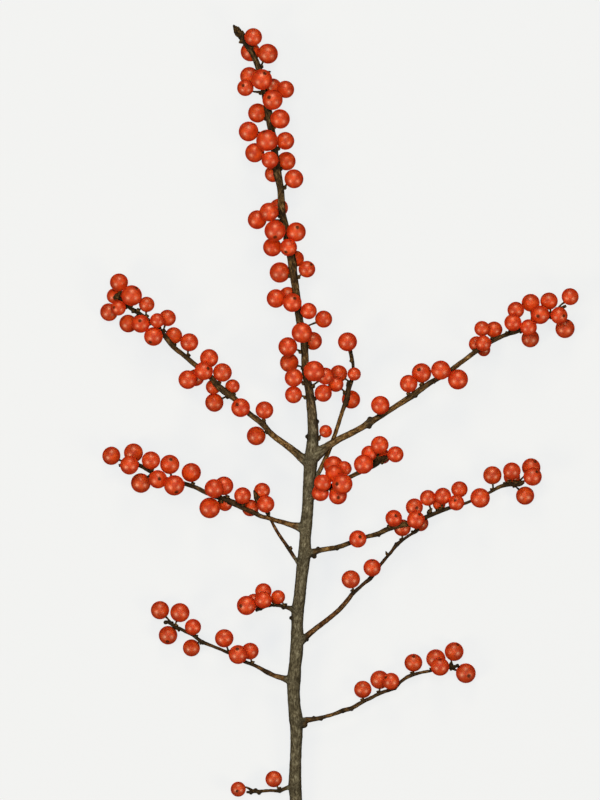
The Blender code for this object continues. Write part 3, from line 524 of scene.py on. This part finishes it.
# buds and dead spurs, listed: foot x, y, height, then how far x, y, height to the tip, and half width
handBuds = [
    (-41.6, 170.2, 10.1, -3.3, 5.6, 0.2, 1.5), (-41.9, 170.4, 10.3, -2.6, 3.4, 1.4, 1.2),
    (-42.0, 171.0, 10.0, -2.6, 2.4, 0.0, 0.9), (-40.6, 170.0, 10.2, -0.4, 3.4, 0.4, 1.0),
    (-41.6, 171.4, 11.0, -1.2, 3.6, 0.3, 0.9), (-40.6, 169.0, 10.4, -2.0, -0.9, 0.3, 1.0),
    (-38.9, 167.6, 10.6, 0.5, 2.4, 0.5, 0.9), (-31.3, 155.0, 10.6, 2.3, 1.2, 0.2, 0.9),
    (14.6, -8.4, 28.6, 0.9, 3.6, 0.4, 0.8), (13.6, -9.2, 28.0, 1.0, 2.9, 0.8, 0.8),
    (16.4, -7.4, 29.4, -0.5, 2.2, 1.2, 0.8), (20.0, -6.0, 30.8, 1.8, -0.4, 0.2, 0.7),
    (-93.5, 61.2, 9.6, -0.6, 1.0, 2.6, 1.3), (-93.3, 61.6, 9.6, 0.9, 2.2, 1.6, 0.9),
    (-93.8, 61.0, 9.6, -1.4, 0.3, 1.2, 1.1),
    (-86.4, 55.9, 9.6, -1.1, -1.3, 0.6, 1.1), (-85.6, 55.4, 9.7, 1.9, 0.9, 1.0, 1.0),
    (-33.7, -26.0, 12.4, -2.6, 6.3, 0.8, 1.3), (36.6, -30.0, 10.6, 2.2, 2.7, 0.8, 1.0),
    (38.5, 25.6, 12.4, 2.2, 0.5, 0.6, 1.0), (20.0, -47.6, 8.8, -0.8, 2.3, 0.6, 0.6),
    (-20.9, -45.2, 8.9, 0.3, 2.0, 0.8, 0.9), (46.5, -94.2, 7.0, 0.2, 2.4, 0.6, 0.9),
]


def pickAt(piece, height):
    # selects a pattern's vertices at one height and leaves it in edit mode
    bpy.ops.object.mode_set(mode="OBJECT")
    for vertex in piece.data.vertices:
        vertex.select = abs(vertex.co.z - height) < 0.01
    bpy.ops.object.mode_set(mode="EDIT")


def roundPattern(name, shape):
    # a ball of radius 1 in edit mode, to be shaped and then copied
    deselectAll()
    bpy.ops.mesh.primitive_uv_sphere_add(segments=shape["around"], ring_count=shape["rings"], radius=1)
    bpy.context.object.name = name
    bpy.ops.object.mode_set(mode="EDIT")
    bpy.ops.mesh.select_mode(type="VERT")
    return bpy.context.object


def modelBerry():
    # flower scar dented in at the top, stalk end at the bottom
    pattern = roundPattern("pattern_berry", berry)
    for height, change in ((1.0, -berry["dimple"]), (-1.0, berry["stalkDimple"])):
        pickAt(pattern, height)
        bpy.ops.transform.translate(value=(0, 0, change))
        bpy.ops.mesh.select_all(action="DESELECT")
    bpy.ops.object.mode_set(mode="OBJECT")
    pattern.data.shade_smooth()
    return pattern


def modelBud():
    # a pointed egg, foot at the origin, tip up, 1 long
    pattern = roundPattern("pattern_bud", bud)
    for height, width in bud["waist"]:
        pickAt(pattern, height)
        bpy.ops.transform.resize(value=(width, width, 1), center_override=(0, 0, height))
        bpy.ops.mesh.select_all(action="DESELECT")
    bpy.ops.mesh.select_all(action="SELECT")
    bpy.ops.transform.resize(value=(1, 1, 0.5), center_override=(0, 0, -1))
    bpy.ops.transform.translate(value=(0, 0, 1))
    bpy.ops.object.mode_set(mode="OBJECT")
    pattern.data.shade_smooth()
    return pattern


def placed(pattern, foot, direction, spin, size, name):
    # a copy of a pattern with a mesh of its own, its place kept in the mesh
    made = pattern.copy()
    made.data = pattern.data.copy()
    made.name = name
    turn = direction.to_track_quat("Z", "Y").to_matrix().to_4x4() @ Matrix.Rotation(spin, 4, "Z")
    made.data.transform(Matrix.Translation(foot) @ turn @ Matrix.Diagonal((*size, 1)))
    bpy.context.collection.objects.link(made)
    return made


def curvedStalk(foot, footWay, base, baseWay):
    # a thin bent stalk that widens into the bark and into the berry
    span = (base - foot).length * stalk["bend"]
    middle = (foot + footWay * span + base + baseWay * span) / 2
    made = tube("stalk", [(foot, stalk["footMm"]), (middle, stalk["midMm"]), (base, stalk["topMm"])],
                stalk["steps"], stalk["sides"])
    made.data.shade_smooth()
    return made


def paint(piece, name, value):
    # one value all over a piece, kept as a point attribute
    layer = piece.data.attributes.new(name, "FLOAT", "POINT")
    layer.data.foreach_set("value", [value] * len(piece.data.vertices))


def berryAxis(centre, radius, foot, chance):
    # the way a berry's flower scar points, and how dark the scar is
    for x, y in scars:
        spot = Vector((x * mm, y * mm))
        off = (spot - centre.xy) / radius
        if off.length < berry["scarReach"]:
            highest = max(one[0].z for one in allBerries if (one[0].xy - spot).length < one[1])
            if centre.z >= highest - berry["levelMm"] * mm:
                return Vector((off.x, off.y, math.sqrt(1 - off.length_squared))), 1.0
    away = (centre - foot).normalized()
    if away.z < -berry["steep"] and away.xy.length > berry["steep"]:
        away = (Vector((away.x, away.y, 0)).normalized() - up * berry["hangs"]).normalized()
    if away.z > berry["steep"]:
        flat = Vector((away.x, away.y, 0))
        if flat.length < berry["steep"]:
            turn = chance.uniform(0, 2 * math.pi)
            flat = Vector((math.cos(turn), math.sin(turn), 0))
        away = (flat.normalized() + up * berry["rises"]).normalized()
    return away, chance.uniform(*berry["scarUnlisted"])


patternBerry = modelBerry()
patternBud = modelBud()
knots = [atMm(*foot) for *foot, dx, dy, dz, width in handBuds]    # where the wood goes dark
handPlaced = []
for place, (x, y, z, dx, dy, dz, width) in zip(knots, handBuds):
    reach = atMm(dx, dy, dz)
    size = (width * mm, width * mm, reach.length)
    handPlaced.append(placed(patternBud, place, reach.normalized(), 0, size, "bud"))
handBudPiece = joined(handPlaced, "spurs_and_end_buds")

clusters = []
for nodeName in berryNodes:
    route = alongTwig[nodeName[len("berries_"):-3]]
    fruits = []
    stalks = []
    for number, (centre, radius) in enumerate(foundBerries[nodeName], 1):
        chance = random.Random(f"{nodeName} {number}")
        nearest = min(range(len(route)), key=lambda index: (route[index][0] - centre).length_squared)
        axis, way, woodRadius, length = route[
            max(0, nearest - round(chance.uniform(*stalk["backMm"]) / sampleStepMm))]
        out = centre - axis
        out = (out - way * out.dot(way)).normalized()
        foot = axis + out * woodRadius * stalk["sunk"]
        scarWay, scarDepth = berryAxis(centre, radius, foot, chance)
        base = centre - scarWay * radius * stalk["reach"]
        stalks.append(curvedStalk(foot, (out + way * stalk["lean"]).normalized(), base, -scarWay))
        budWide = bud["widthMm"] * mm
        budLong = bud["lengthMm"] * min(1.0, woodRadius / (bud["fullOnMm"] * mm)) * mm
        budFoot = axis + out * woodRadius * bud["sunk"] - way * bud["backMm"] * mm
        budWay = (out + way * bud["lean"]).normalized()
        stalks.append(placed(patternBud, budFoot, budWay, chance.uniform(*spinRange),
                             (budWide, budWide, budLong), "bud"))
        knots.append(axis + out * woodRadius)
        long = radius * chance.uniform(*berry["plump"])
        fruit = placed(patternBerry, centre, scarWay, chance.uniform(*spinRange),
                       (radius, radius, long), "berry")
        # painted light: the higher a berry sits, the more of the sunlit colours it takes, plus a random
        # spread in tone
        heightLight = (centre.z / mm - berry["paintedLightFromMm"]) / berry["paintedLightOverMm"]
        paint(fruit, "paintedLightAndTone", clamped(heightLight + chance.uniform(*berry["toneSpread"])))
        paint(fruit, "scarDepth", scarDepth)
        fruits.append(fruit)
    clusters.append((nodeName, joined(fruits, nodeName.replace("berries", "fruit")),
                     joined(stalks, nodeName.replace("berries", "stalks"))))
bpy.data.objects.remove(patternBerry)
bpy.data.objects.remove(patternBud)
print("berries and stalks placed")

# values that the bark's colours follow, kept on the wood's vertices
spread = {
    "collarMm": 2.6, "collarFadeMm": 2,     # the stem's bark reaches this far onto the foot of a twig
    "litFromLeft": 0.15,                    # the side spared by the painted flank shade leans this much to the left of straight up
    "fruitReachMm": 8.5, "fruitFadeMm": 3,  # wood this near a berry is darker
    "fruitDark": 0.7,                       # by this share
    "thinMm": 1.3, "thinFadeMm": 0.4,       # and only where its radius is under this
    "leaderFullMm": 45,                     # height on the sprig where the leader has its own colour in full
    "knotReachMm": 3.6, "knotFadeMm": 2.6,  # dark ring around a knob, a bud or a stalk's foot
    # how far each twig has been sunned from dark red-brown to golden brown
    "sunned": {
        "stem": 0.6, "upper_left": 0.8, "mid_left": 0.4, "slanting": 0, "left_spur": 0.3, "lower_left": 0.35,
        "bottom_left": 1.0, "upper_right": 0.85, "back": 0.65, "front": 0.5, "mid_right": 1.0,
        "inner_right": 0.1, "lower_right": 0.6,
    },
}
twigOf = [name for name in twigs for one in alongTwig[name]]
nearWood = searchTree([one[0] for one in everySample])
nearStem = searchTree([one[0] for one in alongTwig["stem"]])
nearKnot = searchTree(knots + knobPlaces)
nearBerry = {}
for name in twigs:
    borne = [node for node in berryNodes if node.startswith(f"berries_{name}_")]
    nearBerry[name] = searchTree([centre for node in borne for centre, radius in foundBerries[node]])

barkValues = {name: [] for name in ("girth", "knotty", "leader", "facingLight", "fruiting", "sunned", "grain")}
for vertex in wood.data.vertices:
    index = nearWood.find(vertex.co)[1]
    centre, way, woodRadius, length = everySample[index]
    side = way.cross(up).normalized()
    off = vertex.co - centre
    stemIndex, stemDistance = nearStem.find(vertex.co)[1:]
    stemRadius = alongTwig["stem"][stemIndex][2]
    woodRadius = max(woodRadius, stemRadius * clamped(
        (stemRadius + spread["collarMm"] * mm - stemDistance) / (spread["collarFadeMm"] * mm)))
    berryMm = (nearBerry[twigOf[index]].find(vertex.co)[2] or 1) / mm    # far away on a twig with no berries
    thin = clamped((spread["thinMm"] - woodRadius / mm) / spread["thinFadeMm"])
    knotMm = nearKnot.find(vertex.co)[2] / mm
    for name, value in (
        ("girth", woodRadius / mm),
        ("knotty", clamped((spread["knotReachMm"] - knotMm) / spread["knotFadeMm"])),
        ("leader", clamped(vertex.co.y / mm / spread["leaderFullMm"]) if twigOf[index] == "stem" else 0.0),
        # painted shade: how squarely the surface faces up and a little left, towards the light
        ("facingLight", off.normalized().dot(side.cross(way) - side * spread["litFromLeft"])),
        ("fruiting", spread["fruitDark"] * thin
         * clamped((spread["fruitReachMm"] - berryMm) / spread["fruitFadeMm"])),
        ("sunned", spread["sunned"][twigOf[index]]),
    ):
        barkValues[name].append(value)
    barkValues["grain"] += [off.dot(side), off.dot(side.cross(way)), length + off.dot(way)]
for name, values in barkValues.items():
    kind, field = ("FLOAT_VECTOR", "vector") if name == "grain" else ("FLOAT", "value")
    wood.data.attributes.new(name, kind, "POINT").data.foreach_set(field, values)
print("bark values set")

# holly bark: smooth and dull, olive grey on old wood and brown on young, streaked lengthwise, with small
# dark pores and near-black knots, and painted shade darkening the flanks and undersides of the twigs
barkSkin = {
    "streakMm": (0.7, 0.7, 1.8),    # across, across and along the grain
    "blotchMm": 3.8, "speckleMm": 0.8,
    "poreMm": 1.6,                  # apart; real ones are closer, drawn as coarse as they need to show
    "youngMm": 1.2, "oldMm": 2.2,   # radius of wood that is all young, and all old
    "reliefMm": 0.3, "relief": 0.5, "roughness": 0.75, "specular": 0.04,
    "oldWood": [(0.34, "322B1D"), (0.47, "524934"), (0.56, "6A6149"), (0.7, "8D8469")],
    "goldenWood": [(0.36, "351F09"), (0.46, "5E4019"), (0.54, "7A592C"), (0.66, "987848")],
    "reddishWood": [(0.36, "1E0C03"), (0.46, "42230D"), (0.54, "5C381A"), (0.66, "805C34")],
    "leaderWood": [(0.38, "1A0E05"), (0.47, "40280F"), (0.55, "5E4422"), (0.66, "8A6E46")],
    "fruiting": "2C1509",
    # what darkens the bark: colour, the values at which it starts and is full, and how much it then hides
    # painted shade on the twigs' flanks and undersides, away from the light
    "paintedFlankShade": ("1C1106", 0.85, 0.2, 0.6),
    "blotch": ("2E2819", 0.45, 0.7, 0.55),
    "knot": ("1B140C", 0.0, 1.0, 0.9),
    "pore": ("1E180F", 0.22, 0.12, 0.5),
}
hollyBark, tree = newMaterial("holly_bark")
place = addNode(tree, "ShaderNodeTexCoord").outputs["Object"]
share = {name: addNode(tree, "ShaderNodeAttribute", attribute_name=name).outputs["Fac"]
         for name in ("girth", "knotty", "leader", "facingLight", "fruiting", "sunned")}
alongGrain = addNode(tree, "ShaderNodeVectorMath", {1: [scaleFor(size) for size in barkSkin["streakMm"]]},
                     {0: addNode(tree, "ShaderNodeAttribute", attribute_name="grain").outputs["Vector"]},
                     operation="MULTIPLY")
streaks = addNode(tree, "ShaderNodeTexNoise", {"Scale": 1.0, "Detail": 4.0, "Roughness": 0.65},
                  {"Vector": alongGrain.outputs["Vector"]}).outputs["Fac"]
blotches = addNode(tree, "ShaderNodeTexNoise", {"Scale": scaleFor(barkSkin["blotchMm"]), "Detail": 3.0,
                                                "Roughness": 0.6}, {"Vector": place})
speckle = addNode(tree, "ShaderNodeTexNoise", {"Scale": scaleFor(barkSkin["speckleMm"]), "Detail": 2.0},
                  {"Vector": place})
pores = addNode(tree, "ShaderNodeTexVoronoi", {"Scale": scaleFor(barkSkin["poreMm"])}, {"Vector": place})
tone = {name: addNode(tree, "ShaderNodeValToRGB", links={"Fac": streaks},
                      stops=barkSkin[name]).outputs["Color"]
        for name in ("oldWood", "goldenWood", "reddishWood", "leaderWood")}
old = addNode(tree, "ShaderNodeMapRange", {"From Min": barkSkin["youngMm"], "From Max": barkSkin["oldMm"]},
              {"Value": share["girth"]}).outputs["Result"]
skin = addNode(tree, "ShaderNodeMix", links={0: share["sunned"], 6: tone["reddishWood"],
                                             7: tone["goldenWood"]}, data_type="RGBA").outputs[2]
skin = addNode(tree, "ShaderNodeMix", links={0: old, 6: skin, 7: tone["oldWood"]},
               data_type="RGBA").outputs[2]
skin = addNode(tree, "ShaderNodeMix", {7: linear(barkSkin["fruiting"])}, {0: share["fruiting"], 6: skin},
               data_type="RGBA").outputs[2]
skin = addNode(tree, "ShaderNodeMix", links={0: share["leader"], 6: skin, 7: tone["leaderWood"]},
               data_type="RGBA").outputs[2]
# painted shade: each twig's flanks and underside are darkened, the side facing up and a little left stays
# lighter
for name, value in (("paintedFlankShade", share["facingLight"]), ("blotch", blotches.outputs["Fac"]),
                    ("knot", share["knotty"]), ("pore", pores.outputs["Distance"])):
    colour, start, full, most = barkSkin[name]
    amount = addNode(tree, "ShaderNodeMapRange", {"From Min": start, "From Max": full, "To Max": most},
                     {"Value": value}).outputs["Result"]
    skin = addNode(tree, "ShaderNodeMix", {7: linear(colour)}, {0: amount, 6: skin},
                   data_type="RGBA").outputs[2]
relief = addNode(tree, "ShaderNodeMath", links={0: streaks, 1: speckle.outputs["Fac"]}, operation="ADD")
barkBump = addNode(tree, "ShaderNodeBump", {"Strength": barkSkin["relief"],
                                            "Distance": barkSkin["reliefMm"] * mm},
                   {"Height": relief.outputs["Value"]})
finishMaterial(tree, {"Roughness": barkSkin["roughness"], "Specular IOR Level": barkSkin["specular"]},
               {"Base Color": skin, "Normal": barkBump.outputs["Normal"]})

# freshly cut wood: pale cream rings around a small darker pith, dull
cutWood, tree = newMaterial("fresh_cut_wood")
place = addNode(tree, "ShaderNodeTexCoord").outputs["Object"]
onCut = addNode(tree, "ShaderNodeVectorMath", {1: (1, 0, 1)}, {0: place}, operation="MULTIPLY")
fromPith = addNode(tree, "ShaderNodeVectorMath", {1: (cut["middleMm"][0] * mm, 0, cut["middleMm"][2] * mm)},
                   {0: onCut.outputs["Vector"]}, operation="DISTANCE")
outward = addNode(tree, "ShaderNodeMath", {1: 1 / (cut["radiusMm"] * mm)}, {0: fromPith.outputs["Value"]},
                  operation="MULTIPLY")
rings = addNode(tree, "ShaderNodeValToRGB", links={"Fac": outward.outputs["Value"]}, stops=cut["rings"])
fibres = addNode(tree, "ShaderNodeTexNoise", {"Scale": scaleFor(cut["fibreMm"]), "Detail": 2.0},
                 {"Vector": place})
cutBump = addNode(tree, "ShaderNodeBump", {"Strength": cut["relief"], "Distance": cut["fibreDepthMm"] * mm},
                  {"Height": fibres.outputs["Fac"]})
finishMaterial(tree, {"Roughness": cut["roughness"]},
               {"Base Color": rings.outputs["Color"], "Normal": cutBump.outputs["Normal"]})

# young corky stalks, bud scales and dead spurs: dull near-black brown with paler ridges
twigSkin = {
    "patchMm": 1.1, "tones": [(0.35, "1A1008"), (0.5, "38250F"), (0.68, "604724")],
    "reliefMm": 0.2, "relief": 0.5, "roughness": 0.75, "specular": 0.04,
}
stalkSkin, tree = newMaterial("dried_stalk_and_bud_scale")
patches = addNode(tree, "ShaderNodeTexNoise", {"Scale": scaleFor(twigSkin["patchMm"]), "Detail": 3.0},
                  {"Vector": addNode(tree, "ShaderNodeTexCoord").outputs["Object"]}).outputs["Fac"]
tones = addNode(tree, "ShaderNodeValToRGB", links={"Fac": patches}, stops=twigSkin["tones"])
stalkBump = addNode(tree, "ShaderNodeBump", {
    "Strength": twigSkin["relief"], "Distance": twigSkin["reliefMm"] * mm}, {"Height": patches})
finishMaterial(tree, {"Roughness": twigSkin["roughness"], "Specular IOR Level": twigSkin["specular"]},
               {"Base Color": tones.outputs["Color"], "Normal": stalkBump.outputs["Normal"]})

# ripe holly berry: orange-red flesh, cloudy with paler patches, under a thin waxy skin that lets a little
# light in and glows redder at its edge; dry brown flower scar and stalk end, with no gloss; painted light
# makes higher berries take the sunlit colours and lower ones the shaded colours
berrySkin = {
    "cloudMm": 2.4,
    "poreMm": 1.8, "poreDepthMm": 0.1, "relief": 0.1,    # coarser than real pores, which wouldn't show
    # painted light and shade: shaded and sunlit copies of the flesh colour
    "shaded": [(0.32, "A54119"), (0.5, "B54F22"), (0.68, "C65E2C")],
    "sunlit": [(0.32, "B63F12"), (0.5, "C44D1C"), (0.68, "D6602B")],
    "scar": "5A2412", "scarGloss": 0.1,
    "scarEdge": (0.918, 0.955), "stalkEdge": (0.075, 0.05),    # from the stalk end, 0, to the flower scar, 1
    "waxTint": "FFC4A0", "waxRoughness": 0.42, "waxIor": 1.3,
    "bloom": 0.6, "bloomRoughness": 0.4, "bloomTint": "FF3814",
    "letsIn": 0.15, "depthMm": 3.5, "depthByColour": (1.0, 0.12, 0.05),
}
waxySkin, tree = newMaterial("waxy_berry_skin")
place = addNode(tree, "ShaderNodeTexCoord").outputs["Object"]
clouds = addNode(tree, "ShaderNodeTexNoise", {"Scale": scaleFor(berrySkin["cloudMm"]), "Detail": 1.0,
                                              "Roughness": 0.4}, {"Vector": place})
tone = {name: addNode(tree, "ShaderNodeValToRGB", links={"Fac": clouds.outputs["Fac"]},
                      stops=berrySkin[name]).outputs["Color"] for name in ("shaded", "sunlit")}
# painted light: the share of sunlit colour, larger for berries higher up
paintedLightAndTone = addNode(tree, "ShaderNodeAttribute", attribute_name="paintedLightAndTone").outputs["Fac"]
flesh = addNode(tree, "ShaderNodeMix", links={0: paintedLightAndTone, 6: tone["shaded"], 7: tone["sunlit"]},
                data_type="RGBA").outputs[2]
onSkin = addNode(tree, "ShaderNodeUVMap", uv_map="UVMap").outputs["UV"]
height = addNode(tree, "ShaderNodeSeparateXYZ", links={"Vector": onSkin}).outputs["Y"]
edges = [addNode(tree, "ShaderNodeMapRange", {"From Min": start, "From Max": end}, {"Value": height})
         for start, end in (berrySkin["scarEdge"], berrySkin["stalkEdge"])]
scarDark = addNode(tree, "ShaderNodeAttribute", attribute_name="scarDepth").outputs["Fac"]
scarAmount = addNode(tree, "ShaderNodeMath", links={0: edges[0].outputs["Result"], 1: scarDark},
                     operation="MULTIPLY")
dry = addNode(tree, "ShaderNodeMath", links={0: scarAmount.outputs["Value"], 1: edges[1].outputs["Result"]},
              operation="MAXIMUM").outputs["Value"]
skin = addNode(tree, "ShaderNodeMix", {7: linear(berrySkin["scar"])}, {0: dry, 6: flesh},
               data_type="RGBA").outputs[2]
wax = addNode(tree, "ShaderNodeMapRange", {"To Min": 1.0, "To Max": berrySkin["scarGloss"]}, {"Value": dry})
skinPores = addNode(tree, "ShaderNodeTexNoise", {"Scale": scaleFor(berrySkin["poreMm"]), "Detail": 1.0},
                    {"Vector": place})
skinBump = addNode(tree, "ShaderNodeBump", {"Strength": berrySkin["relief"],
                                            "Distance": berrySkin["poreDepthMm"] * mm},
                   {"Height": skinPores.outputs["Fac"]})
finishMaterial(tree, {
    "Specular IOR Level": 0.0, "Coat Tint": linear(berrySkin["waxTint"]),
    "Coat Roughness": berrySkin["waxRoughness"], "Coat IOR": berrySkin["waxIor"],
    "Subsurface Weight": berrySkin["letsIn"], "Subsurface Scale": berrySkin["depthMm"] * mm,
    "Subsurface Radius": berrySkin["depthByColour"],
    "Sheen Weight": berrySkin["bloom"], "Sheen Roughness": berrySkin["bloomRoughness"],
    "Sheen Tint": linear(berrySkin["bloomTint"]),
}, {"Base Color": skin, "Coat Weight": wax.outputs["Result"], "Normal": skinBump.outputs["Normal"]})

wear(wood, hollyBark, cutWood)
for face in wood.data.polygons:
    if face.center.y < (cut["middleMm"][1] + cut["spanMm"]) * mm and face.normal.y < -cut["squareness"]:
        face.material_index = 1
        face.use_smooth = False
for nodeName, fruit, stalks in clusters:
    wear(fruit, waxySkin)
    wear(stalks, stalkSkin)
    keep(fruit, "berry_skin", nodeName)
    keep(stalks, "berry_skin", nodeName)
wear(handBudPiece, stalkSkin)
keep(handBudPiece, "bark", "branch")
keep(wood, "bark", "branch")
print("finishes on")

print("sprig dressed")
